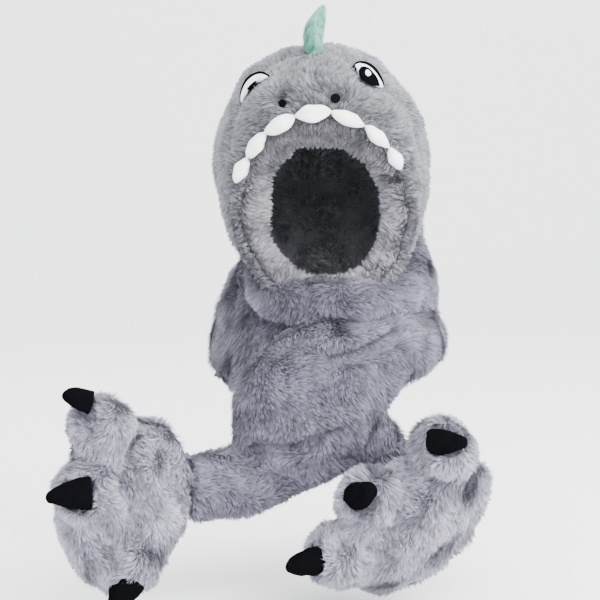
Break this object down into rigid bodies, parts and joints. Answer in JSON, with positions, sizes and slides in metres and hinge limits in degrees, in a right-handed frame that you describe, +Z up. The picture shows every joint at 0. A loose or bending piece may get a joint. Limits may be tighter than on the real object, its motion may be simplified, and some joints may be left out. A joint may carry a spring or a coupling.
{
  "type": "animal hood scarf",
  "caption": "Plush animal hood with a stuffed snout, teeth and fins, and a scarf that crosses in front and ends in clawed paw mittens, in its worn shape.",
  "frame": {"origin": "the top of the head's room, on the hood's inside under the crown, where the head holds the hood up", "axes": "+Z up, the face opening looks along -Y, +X towards the wearer's left"},
  "size_m": [0.3368, 0.366, 0.4728],
  "materials": {
    "grey_fur": "short pile plush, combed, matt",
    "trim_fur": "longer pile plush, matt",
    "paw_fur": "pile plush, matt",
    "white_felt": "smooth short-nap cloth, matt",
    "mint_felt": "short pile plush, matt",
    "black_felt": "short-nap cloth, matt",
    "bead": "gloss"
  },
  "bodies": {
    "root": {"hood": "grey_fur", "face_trim": "trim_fur", "tooth_1": "white_felt", "tooth_2": "white_felt", "tooth_3": "white_felt", "tooth_4": "white_felt", "tooth_5": "white_felt", "tooth_6": "white_felt", "tooth_7": "white_felt", "eye_white_right": "white_felt", "eye_pupil_right": "black_felt", "nostril_right": "bead", "eye_white_left": "white_felt", "eye_pupil_left": "black_felt", "nostril_left": "bead", "fin_1": "mint_felt", "fin_2": "mint_felt", "paw_right": "paw_fur", "claw_right_1": "black_felt", "claw_right_2": "black_felt", "claw_right_3": "black_felt", "paw_left": "paw_fur", "claw_left_1": "black_felt", "claw_left_2": "black_felt", "claw_left_3": "black_felt", "scarf_cross_end": "grey_fur", "scarf_chin_turn": "grey_fur", "scarf_shoulder_turn": "grey_fur", "scarf_under_end": "grey_fur"}
  },
  "joints": []
}
